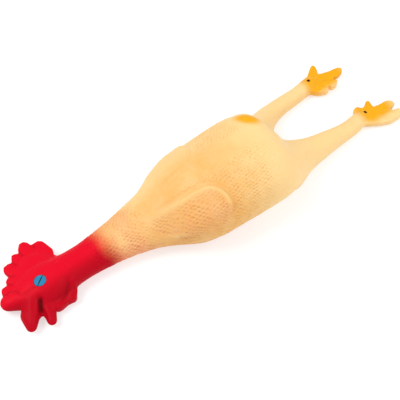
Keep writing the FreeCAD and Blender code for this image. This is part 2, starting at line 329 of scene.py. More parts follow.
LEGS: dict[str, tuple[Station, ...]] = {
    "left": (
        (60, -21, 34, 36), (72, -22.5, 30.5, 31), (84, -21.5, 25.5, 25.5), (96, -19.3, 20.8, 20.6),
        (110, -19.2, 17, 16.8), (123, -19.2, 14.9, 14.5), (136, -18.2, 13, 12.8), (150, -18.2, 11.2, 11),
        (165, -18.2, 9.8, 9.6), (180, -17.2, 9.6, 9), (194, -14, 9.4, 8), (204, -13, 8, 6.5),
    ),
    "right": (
        (62, 13, 32, 33), (74, 20, 27, 27), (86, 30.3, 21.3, 20), (98, 41, 16.4, 15.6), (112, 48, 12.6, 12.4),
        (128, 51.9, 10.2, 10.2), (143, 53.3, 9.5, 9.4), (158, 54.3, 8.9, 8.9), (172, 56.4, 9.2, 8.8),
        (184, 58, 9.8, 8), (194, 58, 9, 6.5),
    ),
}
NECK_SEAM = -92.0
HEAD_SEAM = -140.0
HIP_SEAM = 107.0
SHANK_SEAM = 129.0
FOOT_SEAM = 152.0
LEVEL_HEAD = -164.0
LEVEL_FEET = 172.0
BETWEEN_LEGS = 17.0
RIM_INSET = 3.8


def spine_at(place: Points) -> tuple[Points, Points, Points]:
    """Middle Y, half width and half height of the trunk beside each point."""
    table = np.array(SPINE)
    return tuple(np.interp(place[:, 0], table[:, 0], table[:, column]) for column in (1, 2, 3))


def side_angle(place: Points) -> Points:
    """How far round the trunk points lie from its ridge, negative on the left side."""
    across, wide, high = spine_at(place)
    return np.arctan2((place[:, 1] - across) / wide, (place[:, 2] - high + SINK) / high)


def trunk_place(place: Points) -> tuple[Points, Points]:
    """Where points lie on the trunk: distance along it, and arc from the ridge of its back.

    Args:
        place: points in millimetres.

    Returns:
        X of each point, and its arc round the trunk, negative on the left side.
    """
    _, wide, high = spine_at(place)
    return place[:, 0], side_angle(place) * np.sqrt((wide**2 + high**2) / 2)


@dataclass(frozen=True)
class Wing:
    """A folded wing in low relief: a teardrop with its round end towards the feet."""

    way: float
    along: float = -39.0
    around: float = 38.5
    round_end: float = 25.0
    neck_along: float = -82.0
    neck_around: float = 20.0
    neck_end: float = 13.5
    rise: float = 3.7
    rim: float = 1.6
    pitted: float = 1.0
    soft: float = 4.6
    start: float = -92.0

    def edge(self, place: Points) -> Points:
        """Distance outside the wing's outline."""
        along, around = trunk_place(place)
        around = around * self.way
        run = np.array([self.neck_along - self.along, self.neck_around - self.around])
        offset = np.stack([along - self.along, around - self.around], axis=1)
        share = np.clip(offset @ run / (run @ run), 0, 1)
        radius = self.round_end + (self.neck_end - self.round_end) * share
        return np.linalg.norm(offset - share[:, None] * run, axis=1) - radius

    def height(self, place: Points) -> Points:
        """How far the wing stands out of the trunk."""
        gap = self.edge(place)
        along, around = trunk_place(place)
        across = around * self.way
        fade = ease(self.start, self.start + 34, along) * ease(2, 8, across)
        fade *= 1 - 0.9 * ease(40, 60, across)
        step = 1 - ease(-self.soft, 0.8, gap)
        rear = (0.3 + 0.7 * ease(-66, -40, along)) * (1 - ease(36, 50, across - 9 * ease(-45, -25, along)))
        rim = hill(gap + RIM_INSET, 2.4) - 0.6 * hill(gap - 1.6, 2.2)
        return fade * (self.rise * step + self.rim * rear * rim)

    def rim_band(self, place: Points) -> Mask:
        """The crest of the rim over the upper half of the wing."""
        _, around = trunk_place(place)
        return hill(self.edge(place) + RIM_INSET, 3.4) * (1 - ease(34, 52, around * self.way))

    def field(self, place: Points) -> Mask:
        """The part of the wing inside its smooth rim."""
        _, around = trunk_place(place)
        gap = self.edge(place) - 12 * ease(38, 52, around * self.way)
        return self.pitted * (1 - ease(-8.5, -4.5, gap))


@dataclass(frozen=True)
class Tail:
    """The parson's nose: a low nub beside the root of the right leg, with a fold behind it."""

    along: float = 52.0
    across: float = 17.0
    long: float = 9.0
    wide: float = 15.0
    rise: float = 4.2
    fold: tuple[tuple[float, float], ...] = ((52, 38), (60, 27), (68, 12))

    def lobe(self, place: Points) -> Mask:
        """A soft oval patch over the nub."""
        turned = (place[:, 0] - self.along) * 0.82 + (place[:, 1] - self.across) * 0.57
        across = (place[:, 1] - self.across) * 0.82 - (place[:, 0] - self.along) * 0.57
        return np.exp(-((turned / self.long) ** 2) - (across / self.wide) ** 2) * ease(50, 66, place[:, 2])

    def height(self, place: Points) -> Points:
        """The nub and the fold behind it."""
        fold = hill(distance_to_line(place, self.fold), 3.0) * ease(52, 64, place[:, 2])
        return self.rise * self.lobe(place) - 1.6 * fold


@dataclass(frozen=True)
class PluckedSkin:
    """The pits that plucked feathers leave, over the neck and the flanks."""

    pitch: float = 3.4
    depth: float = 0.74
    lean: float = 0.36

    def pits(self, place: Points) -> Points:
        """Pits in staggered rows that lean and wander like the feathers did.

        Args:
            place: points in millimetres.

        Returns:
            Depth of the pattern, below 0 on the skin raised between pits.
        """
        along, around = trunk_place(place)
        side = np.abs(around)
        across = side - self.lean * (along + 60)
        across += 1.8 * ripple(place, 30, SEED) + 0.8 * ripple(place, 8, SEED + 8)
        down = along + self.lean * side
        down += 1.6 * ripple(place, 36, SEED + 1) + 0.8 * ripple(place, 7, SEED + 9)
        row = 2 * math.pi / self.pitch
        pattern = np.cos(down * row * 0.5) * np.cos(across * row * 0.866)
        strength = 0.9 + 0.6 * ripple(place, 15, SEED + 10)
        return np.clip(pattern, -0.35, 1) * np.clip(strength, 0.3, 1.3)

    def region(self, place: Points) -> Mask:
        """Where the skin off the wings is pitted."""
        along, around = trunk_place(place)
        rear = 1 - ease(30, 70, along + 0.25 * np.abs(around))
        neck = 1 - ease(-98, -76, along)
        flank = ease(3, 12, np.where(around < 0, -around, around - 6))
        return np.maximum(flank, neck) * rear * ease(-156, -130, along) * ease(1.5, 8, place[:, 2])


WINGS = (
    Wing(way=-1.0),
    Wing(
        way=1.0, along=-37, around=34.5, neck_around=18, neck_end=10, rise=2.7, rim=0.6,
        pitted=0.3, start=-74,
    ),
)
TAIL = Tail()
PLUCKED = PluckedSkin()


def skin_relief(place: Points) -> tuple[Points, Mask]:
    """What is moulded into the skin of the trunk, neck and legs.

    Args:
        place: points in millimetres.

    Returns:
        Height above the plain skin, and how deep in a pit each point lies.
    """
    height = 0.28 * ripple(place, 46, SEED + 2) + 0.07 * ripple(place, 13, SEED + 3)
    outside = np.ones(len(place))
    inside = np.zeros(len(place))
    for wing in WINGS:
        height += wing.height(place)
        outside *= ease(0.5, 4.5, wing.edge(place))
        inside += wing.field(place) * ease(-100, -76, place[:, 0])
    neck = 1 - ease(-98, -78, place[:, 0])
    pits = PLUCKED.pits(place) * np.maximum(PLUCKED.region(place) * np.maximum(outside, neck), inside)
    return height + TAIL.height(place) - PLUCKED.depth * (1 + 0.3 * neck) * pits, pits


def rest_on_floor(place: Points) -> Points:
    """Presses whatever hangs under the floor plane onto it, with a small soft edge."""
    pressed = place.copy()
    low = FLOOR_EDGE * np.log1p(np.exp(np.clip(place[:, 2] / FLOOR_EDGE, -30, 30)))
    pressed[:, 2] = np.where(place[:, 2] > 6 * FLOOR_EDGE, place[:, 2], low)
    return pressed


@dataclass(frozen=True)
class FootSpray:
    """Where orange is sprayed on one foot: a run along it, and a side that it fades to."""

    side: float
    start: float
    fade: float
    low: float

    def mask(self, place: Points, wander: Points) -> Mask:
        """How much orange lies on each point."""
        mine = (place[:, 1] - BETWEEN_LEGS) * self.side > 0
        along = place[:, 0] + 1.5 * wander
        tips = 1 - 0.72 * ease(self.fade, self.fade + 20, along)
        near = 0.12 + 0.88 * ease(self.low, self.low + 15, place[:, 1] + 0.35 * place[:, 2] + wander)
        return ease(self.start, self.start + 20, along) * tips * near * mine


FOOT_SPRAYS = (FootSpray(-1, 182, 220, -32), FootSpray(1, 160, 212, 37))


def mark_sprays(item: bpy.types.Object) -> None:
    """Keeps the sprayed paints, the painted shade of the lower side, the painted highlight, and the place of
    each point on the skin.

    Args:
        item: the moulded skin.
    """
    place = read_points(item)
    wander = ripple(place, 30, SEED + 4)
    edge = -131.0 + 2.0 * wander - 0.12 * (place[:, 1] - 12) + 4.0 * (1 - ease(4, 30, place[:, 2]))
    write_values(item, Spray.RED.value, 1 - ease(-20, 24, place[:, 0] - edge))
    orange = 0.95 * ease(0.04, 0.9, TAIL.lobe(place))
    for foot in FOOT_SPRAYS:
        orange = np.maximum(orange, foot.mask(place, wander))
    write_values(item, Spray.ORANGE.value, orange)
    neck = hill(place[:, 0] + 106, 18)
    # Painted shade on the lower side, with pink blush on the wings and at the neck.
    low = np.clip((30 - place[:, 2]) / 34, 0, 1) * (1 - 0.75 * ease(-15, 40, place[:, 0]))
    wings = sum(wing.field(place) for wing in WINGS) * ease(-96, -70, place[:, 0])
    write_values(item, Spray.BLUSH_AND_SHADE.value, np.clip(low + 0.33 * wings + 0.45 * neck + 0.12 * wander, 0, 1))
    # Painted highlight on the far side and on the crest of the near wing's rim; paler towards the legs and at
    # the neck.
    far = 0.7 * ease(0.05, 0.7, side_angle(place)) * ease(-110, -95, place[:, 0])
    rim = 0.5 * WINGS[0].rim_band(place) * ease(-84, -62, place[:, 0])
    pale = np.maximum(ease(-20, 52, place[:, 0] + 6 * wander), np.maximum(far, rim))
    write_values(item, Spray.PALE_AND_HIGHLIGHT.value, np.maximum(pale, 0.35 * neck))
    write_values(item, "cast_place", place)


# ---------------------------------------------------------------- head and feet

COMB = (
    (-168, 22), (-170.5, 33), (-173.5, 38), (-171, 44), (-173, 53), (-174.5, 58.5), (-178, 61.5),
    (-182, 61.2), (-186, 61.5), (-187.5, 66.5), (-190.5, 69.3), (-195.5, 69.3), (-200, 63.5), (-201, 60),
    (-204, 62), (-208, 62.5), (-212, 55.5),
    (-215.5, 56), (-221, 55.5), (-223.5, 51), (-222.5, 43), (-225, 42), (-228, 39), (-228.5, 36), (-235, 35),
    (-237.5, 30), (-236, 26), (-225, 18), (-200, 18),
)
THROAT_FOLD = (
    (-206, 2), (-203, -9), (-202.5, -15), (-198, -15.8), (-190, -14.3), (-183, -15.6), (-180.5, -14.5),
    (-174, -5), (-172, 6),
)
LEFT_FOOT = (
    (186, -9), (190.5, -5), (194, -1), (200, 0), (203, -5.5), (207, -4.5), (213, -0.5), (216.5, -1.5),
    (215.5, -6.5), (214, -11.5), (221, -13), (232, -13.5), (237.5, -17), (237.5, -22.5), (226.5, -26),
    (236, -30), (236.5, -35.6), (230, -39), (216, -38.6), (203, -32.3), (190, -24),
)
RIGHT_FOOT = (
    (172, 65), (185, 67), (193.5, 73.5), (199.5, 77.5), (202.5, 76), (201.5, 70), (197, 62.3), (210, 58.5),
    (222, 57), (225.5, 53.5), (222.5, 49), (215, 47), (206.5, 47.5), (209.5, 42.5), (204.5, 38), (196.5, 37),
    (196, 41.5), (191.5, 37), (187, 36.5), (179, 41), (171, 50),
)
HEAD_FINGERS: tuple[tuple[tuple[Station, ...], float, float], ...] = (
    (((-220, 16, 0, 13.5), (-236, 20, -0.5, 8.6)), 10.5, 0.85),
    (((-216, 4, 0, 12.5), (-226.5, -4, 0, 9.6), (-231.7, -15.1, 0, 5.3)), 9.5, 0.85),
    (((-204, 2, 0, 10), (-209, -9, 0, 7.4), (-212.4, -20.6, 0, 4.8)), 8.5, 0.9),
    (((-196, 33, 0, 22), (-205, 31, 0, 19)), 12.0, 0.42),
)
EYE = (-202.0, 14.0)
EYE_TURN = math.radians(-17)
EYE_OVAL = (6.6, 5.2)
EYE_SOCKET = 0.4
BROW = ((-209, 11.5), (-212, 12.7), (-217, 12.8), (-223.5, 14.5), (-225.2, 21.6), (-231.3, 26), (-236, 26.2))
PETAL_VALLEY = ((-211.5, 0), (-213.5, -3.5), (-215.8, -7.6), (-217.5, -15.4))
PETAL_RIDGE = ((-219, 6), (-223.6, -0.3), (-225, -7.4), (-229.5, -13.5))
WATTLE_HOLLOW = ((-193, -10), (-186, -6.5), (-181, -2.5))
CHEEK = ((-176.5, -11.4), (-175.9, -1.4), (-183, -9.1))
CREASES = (
    ((-193.1, 21.2), (-185.5, 17.2), (-189.7, 15)), ((-174, 15.7), (-172.4, 9.1)),
    ((-177.2, 23.4), (-181.2, 22.9)),
)
COMB_GROOVES = (
    ((-186, 61), (-185, 55)), ((-200.5, 60), (-199, 54)), ((-212, 55), (-210, 49)),
    ((-222.5, 43), (-218, 39.5)), ((-228.5, 36), (-224, 32.5)),
)
FACE_FOLDS = (
    (BROW, -0.5, 2.0), (PETAL_VALLEY, -2.6, 2.8), (PETAL_RIDGE, 1.2, 3.4), (WATTLE_HOLLOW, -1.8, 5.0),
    (CHEEK, 1.2, 2.2), *((line, -0.35, 1.2) for line in CREASES),
    *((line, -0.45, 2.2) for line in COMB_GROOVES),
)
# Painted shade along lines of the face: line, share of shade and width.
FACE_SHADES = (
    (BROW, 0.22, 1.8), (PETAL_VALLEY, 1.2, 2.8), (WATTLE_HOLLOW, 0.6, 4.2),
    *((line, 0.25, 1.6) for line in COMB_GROOVES),
)
TOE_GROOVES = (((232, -27), (214, -23)), ((209, 45.5), (194, 52)), ((197.5, 38.5), (188, 47)))
VENTS = ((200.8, -12.6), (178.5, 58.5))
VENT_RADIUS = 1.6
POCKET = (46.0, -5.0, 15.6, 13.5)


def eye_distance(place: Points) -> Points:
    """How far points are from the middle of the eye, 1 at the rim of its oval."""
    offset = place[:, :2] - EYE
    along = offset[:, 0] * math.cos(EYE_TURN) + offset[:, 1] * math.sin(EYE_TURN)
    across = offset[:, 1] * math.cos(EYE_TURN) - offset[:, 0] * math.sin(EYE_TURN)
    return np.hypot(along / EYE_OVAL[0], across / EYE_OVAL[1])


def head_relief(place: Points) -> tuple[Points, Points]:
    """The folds of the face, and the painted shade in its hollows.

    Args:
        place: points in millimetres.

    Returns:
        Height above the plain skin, and the share of shade in the hollows.
    """
    upper = ease(6, 14, place[:, 2])
    on_head = 1 - ease(-172, -160, place[:, 0])
    rim = hill(eye_distance(place) - 1.15, 0.16)
    dent = 1 - ease(0.85, 1.1, eye_distance(place))
    height = 0.4 * rim - 0.3 * dent
    for line, rise, width in FACE_FOLDS:
        height += rise * hill(distance_to_line(place, line), width)
    # Painted shade in the hollows of the face.
    hollow = sum(share * hill(distance_to_line(place, line), width) for line, share, width in FACE_SHADES)
    return height * upper * on_head, np.clip(hollow * upper * on_head, 0, 1)


def foot_relief(place: Points) -> Points:
    """The grooves between the toes, as a height."""
    upper = ease(5, 10, place[:, 2])
    return -1.1 * upper * sum(hill(distance_to_line(place, groove), 1.9) for groove in TOE_GROOVES)


# ---------------------------------------------------------------- finishes


def srgb(red: int, green: int, blue: int) -> tuple[float, float, float, float]:
    """A display colour as a linear one."""
    def linear(value: float) -> float:
        """One channel of it."""
        return value / 12.92 if value <= 0.04045 else ((value + 0.055) / 1.055) ** 2.4

    return (*(linear(channel / 255) for channel in (red, green, blue)), 1.0)


@dataclass
class Nodes:
    """A small builder of shader nodes in one tree."""

    tree: bpy.types.NodeTree

    def add(self, kind: str, settings: dict | None = None, **inputs: object) -> bpy.types.Node:
        """Adds a node, sets it up and links or fills its inputs.

        Args:
            kind: its type without the ShaderNode prefix.
            settings: properties of the node.
            **inputs: values or sockets, by input name with _ for spaces, or by number as i0, i1 and so on.

        Returns:
            The node.
        """
        node = self.tree.nodes.new("ShaderNode" + kind)
        for name, value in (settings or {}).items():
            setattr(node, name, value)
        for name, value in inputs.items():
            numbered = name[0] == "i" and name[1:].isdigit()
            socket = node.inputs[int(name[1:]) if numbered else name.replace("_", " ")]
            if isinstance(value, bpy.types.NodeSocket):
                self.tree.links.new(value, socket)
            else:
                socket.default_value = value
        return node

    def mask(self, value: bpy.types.NodeSocket, low: float, high: float) -> bpy.types.NodeSocket:
        """A socket that rises smoothly from 0 to 1 between two values."""
        settings = {"interpolation_type": "SMOOTHSTEP"}
        return self.add("MapRange", settings, i0=value, i1=low, i2=high, i3=0.0, i4=1.0).outputs[0]

    def math(self, kind: str, first: object, second: object) -> bpy.types.NodeSocket:
        """The result of arithmetic on two values."""
        return self.add("Math", {"operation": kind}, i0=first, i1=second).outputs[0]

    def mix(self, share: object, first: object, second: object, kind: str = "MIX") -> bpy.types.NodeSocket:
        """Two colours mixed."""
        settings = {"data_type": "RGBA", "blend_type": kind}
        return self.add("Mix", settings, i0=share, i6=first, i7=second).outputs[2]

    def noise(self, place: object, scale: float, detail: float, rough: float = 0.5) -> bpy.types.NodeSocket:
        """Soft noise about 0 to 1."""
        noise = self.add("TexNoise", None, Vector=place, Scale=scale, Detail=detail, Roughness=rough)
        return noise.outputs[0]

    def surface(self, **inputs: object) -> None:
        """Adds a principled shader with these inputs, and the output that shows it."""
        shader = self.add("BsdfPrincipled", None, **inputs)
        self.add("OutputMaterial", None, Surface=shader.outputs[0])


def new_material(name: str) -> tuple[bpy.types.Material, Nodes]:
    """An empty material, and the builder of its nodes."""
    material = bpy.data.materials.new(name)
    material.use_nodes = True
    material.node_tree.nodes.clear()
    return material, Nodes(material.node_tree)


def new_group(
    name: str, wanted: Sequence[tuple[str, str, str]],
) -> tuple[bpy.types.NodeTree, Nodes, bpy.types.Node, bpy.types.Node]:
    """An empty node group with these sockets.

    Args:
        name: its name.
        wanted: name, direction and kind of each socket.

    Returns:
        The group, its builder, and its input and output nodes.
    """
    group = bpy.data.node_groups.new(name, "ShaderNodeTree")
    for socket, way, kind in wanted:
        group.interface.new_socket(socket, in_out=way, socket_type="NodeSocket" + kind)
    return group, Nodes(group), group.nodes.new("NodeGroupInput"), group.nodes.new("NodeGroupOutput")


def mottling_group() -> bpy.types.NodeTree:
    """Cloudy unevenness of a dipped colour, as a colour factor about 1."""
    wanted = (("Place", "INPUT", "Vector"), ("Amount", "INPUT", "Float"), ("Cloud", "OUTPUT", "Float"))
    group, nodes, inside, outside = new_group("mottling", wanted)
    place = inside.outputs["Place"]
    broad = nodes.mask(nodes.noise(place, 0.045, 3.0), 0.35, 0.68)
    fine = nodes.mask(nodes.noise(place, 0.16, 4.0, 0.6), 0.38, 0.7)
    cloud = nodes.math("ADD", nodes.math("MULTIPLY", broad, 0.65), nodes.math("MULTIPLY", fine, 0.35))
    group.links.new(nodes.math("MULTIPLY", cloud, inside.outputs["Amount"]), outside.inputs["Cloud"])
    return group


def grain_group() -> bpy.types.NodeTree:
    """The fine skin of satin latex, as a height and a change of roughness."""
    wanted = (("Place", "INPUT", "Vector"), ("Height", "OUTPUT", "Float"), ("Roughness", "OUTPUT", "Float"))
    group, nodes, inside, outside = new_group("latex_grain", wanted)
    place = inside.outputs["Place"]
    group.links.new(nodes.noise(place, 0.9, 4.0, 0.65), outside.inputs["Height"])
    patchy = nodes.noise(place, 0.12, 3.0)
    group.links.new(nodes.math("MULTIPLY", patchy, 0.16), outside.inputs["Roughness"])
    return group


@dataclass(frozen=True)
class SprayedLatex:
    """Satin yellow latex with sprayed red and orange, and painted shade and painted highlight laid in by its
    masks.
    """

    yellow: tuple = srgb(226, 171, 96)
    pale: tuple = srgb(228, 182, 118)
    # Paler tone of the legs and neck, and the painted highlight on the far side and the wing's rim.
    pale_highlight: tuple = srgb(236, 202, 141)
    # Pink blush at the neck and wings, and also the painted shade of the lower side.
    peach_blush_and_shade: tuple = srgb(226, 141, 103)
    orange: tuple = srgb(228, 160, 0)
    red: tuple = srgb(210, 7, 34)
    # Painted shade of the red: hollows of the face, the near side and under the head.
    shaded_red: tuple = srgb(66, 0, 0)
    # Painted shade in the plucked pits.
    pit_shading: tuple = srgb(212, 148, 90)
    # Painted shade inside the vent holes.
    vent_painted_shade: tuple = srgb(52, 10, 2)
    roughness: float = 0.46

    def build(self, mottling: bpy.types.NodeTree, grain: bpy.types.NodeTree) -> bpy.types.Material:
        """Makes the material.

        Args:
            mottling: the group of cloudy unevenness.
            grain: the group of fine skin.

        Returns:
            The finished material.
        """
        material, nodes = new_material("sprayed_latex")
        place = nodes.add("Attribute", {"attribute_name": "cast_place"}).outputs["Vector"]
        masks = {
            spray: nodes.add("Attribute", {"attribute_name": spray.value}).outputs["Fac"] for spray in Spray
        }
        cloud = nodes.add("Group", {"node_tree": mottling}, Place=place, Amount=1.0).outputs["Cloud"]
        fine = nodes.add("Group", {"node_tree": grain}, Place=place)
        colour = nodes.mix(cloud, self.yellow, self.pale)
        # Painted highlight on the far side and the wing's rim, with the paler legs and neck.
        pale_highlight = nodes.math("MULTIPLY", masks[Spray.PALE_AND_HIGHLIGHT], 0.85)
        colour = nodes.mix(pale_highlight, colour, self.pale_highlight)
        # Pink blush, and painted shade on the lower side.
        blush_and_low_shade = nodes.math("MULTIPLY", nodes.mask(masks[Spray.BLUSH_AND_SHADE], 0.05, 1.0), 0.75)
        colour = nodes.mix(blush_and_low_shade, colour, self.peach_blush_and_shade)
        speckle = nodes.math("SUBTRACT", nodes.noise(place, 0.5, 5.0, 0.7), 0.5)
        speckle = nodes.math("MULTIPLY", speckle, 0.5)
        edge = nodes.math("ADD", masks[Spray.ORANGE], nodes.math("MULTIPLY", speckle, 0.5))
        orange = nodes.mask(edge, 0.02, 0.95)
        colour = nodes.mix(orange, colour, self.orange)
        faint = nodes.math("MULTIPLY", speckle, 0.35)
        red = nodes.mask(nodes.math("ADD", masks[Spray.RED], faint), 0.06, 0.92)
        # Painted shade on the red in hollows, on the near side and under the head.
        shade = nodes.math("MULTIPLY", masks[Spray.DEPTH], 0.9)
        red_in_shade = nodes.mix(shade, self.red, self.shaded_red)
        colour = nodes.mix(red, colour, red_in_shade)
        # Painted shade in the pits.
        pit_shading = nodes.math("MULTIPLY", nodes.mask(masks[Spray.SHADED_PITS], 0.0, 0.9), 0.2)
        colour = nodes.mix(pit_shading, colour, self.pit_shading, "MULTIPLY")
        # Painted shade inside the vent holes.
        colour = nodes.mix(masks[Spray.SHADED_VENTS], colour, self.vent_painted_shade)
        rough = nodes.math("ADD", fine.outputs["Roughness"], self.roughness - 0.08)
        bump = nodes.add("Bump", None, Strength=0.12, Distance=0.00012, Height=fine.outputs["Height"])
        gloss = nodes.add("MapRange", None, i0=red, i3=0.22, i4=0.05)
        nodes.surface(
            Base_Color=colour, Roughness=rough, Normal=bump.outputs[0], Specular_IOR_Level=gloss.outputs[0],
            Subsurface_Weight=0.12, Subsurface_Radius=(0.004, 0.002, 0.001), Subsurface_Scale=1.0,
        )
        return material


@dataclass(frozen=True)
class PlainFinish:
    """One colour with a little unevenness."""

    name: str
    colour: tuple
    roughness: float
    spread: float = 0.12
    scale: float = 60.0
    specular: float = 0.2

    def build(self) -> bpy.types.Material:
        """Makes the material."""
        material, nodes = new_material(self.name)
        place = nodes.add("TexCoord").outputs["Object"]
        cloud = nodes.noise(place, self.scale, 3.0)
        dark = tuple(channel * (1 - self.spread) for channel in self.colour[:3]) + (1.0,)
        rough = nodes.add("MapRange", None, i0=cloud, i3=self.roughness - 0.05, i4=self.roughness + 0.05)
        nodes.surface(
            Base_Color=nodes.mix(cloud, dark, self.colour), Roughness=rough.outputs[0],
            Specular_IOR_Level=self.specular,
        )
        return material


# ---------------------------------------------------------------- the casting


@dataclass(frozen=True)
class Section:
    """One length of the skin between two cuts across it.
    """

    name: str
    body_a: str
    body_b: str
    low: float
    high: float
    bend_start: tuple[float, float, float]
    bend_end: tuple[float, float, float]
    slot: str
    stands_for: tuple[str, ...]
    side: int = 0


SECTIONS = (
    Section(
        "skin_trunk", "trunk", "back", NECK_SEAM, HIP_SEAM, (2, -4, 56), (2, -4, 82), "latex_yellow",
        ("torso_skin", "back_panel", "left_wing", "right_wing", "tail_nub"),
    ),
    Section(
        "skin_neck", "trunk", "neck", HEAD_SEAM, NECK_SEAM, (-94, 11.5, 18), (-122, 11.5, 18), "latex_yellow",
        ("neck_skin",),
    ),
    Section(
        "skin_head", "neck", "head", -300, HEAD_SEAM, (-142, 14, 13.5), (-174, 14, 13.5), "latex_red",
        ("head_skin", "comb", "beak", "wattles", "throat_fold"),
    ),
    *(
        Section(f"skin_{side}_{part}", before, f"{side}_{part}", low, high,
                (start, across, up), (end, across, up), slot, (f"{side}_{part}",), way)
        for side, across, up, way in (("left", -18, 12, -1), ("right", 52, 10, 1))
        for part, before, low, high, start, end, slot in (
            ("thigh", "trunk", HIP_SEAM, SHANK_SEAM, HIP_SEAM + 1, SHANK_SEAM - 1, "latex_yellow"),
            ("shank", f"{side}_thigh", SHANK_SEAM, FOOT_SEAM, SHANK_SEAM + 1, FOOT_SEAM - 2, "latex_yellow"),
            ("foot", f"{side}_shank", FOOT_SEAM, 300, FOOT_SEAM + 1, FOOT_SEAM + 25, "latex_orange"),
        )
    ),
)


@dataclass
class Casting:
    """The whole hollow skin, cast in one and cut into sections where it bends."""

    grain: float = 0.9
    rounding: float = 6.0
    head_levelling: float = 90.0
    foot_levelling: float = 14.0
    body_rounding: float = 34.0
    hip_rounding: float = 90.0

    def rough_shapes(self) -> list[bpy.types.Object]:
        """The rough shapes that the skin is melted from."""
        shapes = [drawn_tube(line) for line in (SPINE, *LEGS.values())]
        shapes += [leaf(COMB, 8.0, 16.0), leaf(THROAT_FOLD, 3.5, 13.5)]
        shapes += [leaf(foot, 3.5, 11.5) for foot in (LEFT_FOOT, RIGHT_FOOT)]
        return shapes + [finger(*shape) for shape in HEAD_FINGERS]

    def smooth(self, casting: bpy.types.Object, amount: float, grain: float,
               weights: Callable[[Points], Mask] | None = None) -> None:
        """Rounds the skin, everywhere or where weights say.

        Args:
            casting: the skin.
            amount: how much it is rounded, in square millimetres.
            grain: size of its faces.
            weights: share of the rounding that each point takes, or None for all of it.
        """
        group = ""
        if weights:
            group = casting.vertex_groups.new(name="soft").name
            strength = np.round(weights(read_points(casting)), 1)
            for level in np.unique(strength[strength > 0.05]):
                chosen = np.flatnonzero(strength == level).tolist()
                casting.vertex_groups[group].add(chosen, float(level), "REPLACE")
        rounds = max(2, round(amount / grain**2))
        finish_with(casting, "SMOOTH", factor=0.5, iterations=rounds, vertex_group=group)
        casting.vertex_groups.clear()

    def level(self, casting: bpy.types.Object, amount: float, grain: float, past: float) -> None:
        """Softens heights alone past a distance towards one end, so that the outlines there stay."""
        group = casting.vertex_groups.new(name="soft")
        along = read_points(casting)[:, 0] * math.copysign(1, past)
        group.add(np.flatnonzero(along > abs(past)).tolist(), 1.0, "REPLACE")
        rounds = round(amount / grain**2)
        finish_with(
            casting, "SMOOTH", factor=0.5, iterations=rounds, vertex_group="soft", use_x=False, use_y=False,
        )
        casting.vertex_groups.clear()

    def melt(self) -> bpy.types.Object:
        """Melts the rough shapes into one smooth skin."""
        grain = self.grain * 1.0
        casting = join(self.rough_shapes(), "casting")
        finish_with(casting, "REMESH", mode="VOXEL", voxel_size=grain * MM, use_smooth_shade=True)
        self.smooth(casting, self.rounding, grain)
        self.level(casting, self.head_levelling, grain, LEVEL_HEAD)
        self.level(casting, self.foot_levelling, grain, LEVEL_FEET)
        self.smooth(casting, self.body_rounding, grain, self.body_only)
        self.smooth(casting, self.hip_rounding, grain, self.hips_only)
        return casting

    @staticmethod
    def body_only(place: Points) -> Mask:
        """The trunk, neck and upper legs."""
        along = place[:, 0]
        return ease(-150, -135, along) * (1 - ease(140, 170, along))

    @staticmethod
    def hips_only(place: Points) -> Mask:
        """The roots of the legs and the fold between them."""
        return ease(62, 84, place[:, 0]) * (1 - ease(112, 128, place[:, 0]))

    def mould(self, casting: bpy.types.Object) -> None:
        """Presses the wings, tail, pits and face into the skin, rests it on the floor, and keeps painted
        shade for the pits.
        """
        place = read_points(casting)
        normals = read_normals(casting)
        face, _ = head_relief(place)
        body, pits = skin_relief(place)
        off_head = ease(-168, -150, place[:, 0])
        height = body * off_head + face + foot_relief(place)
        place = rest_on_floor(place + normals * height[:, None])
        socket = (1 - ease(1.05, 1.3, eye_distance(place))) * (1 - ease(2, 6, place[:, 2]))
        place[:, 2] += EYE_SOCKET * socket
        write_points(casting, place)
        # Painted shade in the pits, kept off the head.
        write_values(casting, Spray.SHADED_PITS.value, pits * ease(-168, -150, place[:, 0]))

    def pierce(self, casting: bpy.types.Object) -> None:
        """Cuts the pocket of the squeaker and the vent holes, and keeps painted shade inside the vents."""
        x, y, radius, depth = POCKET
        tools = [cylinder((x, y, 0), radius, depth * 2, 64)]
        tools += [cylinder((x, y, 20), VENT_RADIUS, 24, 20) for x, y in VENTS]
        cut_away(casting, join(tools, "tool"), "MANIFOLD")
        place = read_points(casting)
        holes = [np.hypot(place[:, 0] - x, place[:, 1] - y) for x, y in VENTS]
        nearest = np.minimum(*holes) - VENT_RADIUS
        # Painted shade inside the vent holes.
        write_values(casting, Spray.SHADED_VENTS.value, (1 - ease(0.15, 0.7, nearest)) * (place[:, 2] > 4))

    def mark(self, casting: bpy.types.Object) -> None:
        """Keeps the sprays with their painted shade and highlight, the painted shade of the hollows, of the
        near side and under the head, and the true normals of the skin.
        """
        mark_sprays(casting)
        place = read_points(casting)
        _, hollow = head_relief(place)
        # Painted shade on the near side of the red neck and head.
        shaded = 0.38 * ease(0.05, 0.85, -side_angle(place)) * ease(2, 10, place[:, 2])
        shaded *= 1 - ease(-134, -110, place[:, 0])
        # Painted shade along the low edges of the head.
        below = 0.5 * (1 - ease(4, 12, place[:, 2])) * (1 - ease(-172, -160, place[:, 0]))
        shaded = np.maximum(shaded, below)
        write_values(casting, Spray.DEPTH.value, np.maximum(hollow, shaded))
        write_values(casting, "cast_normal", read_normals(casting))

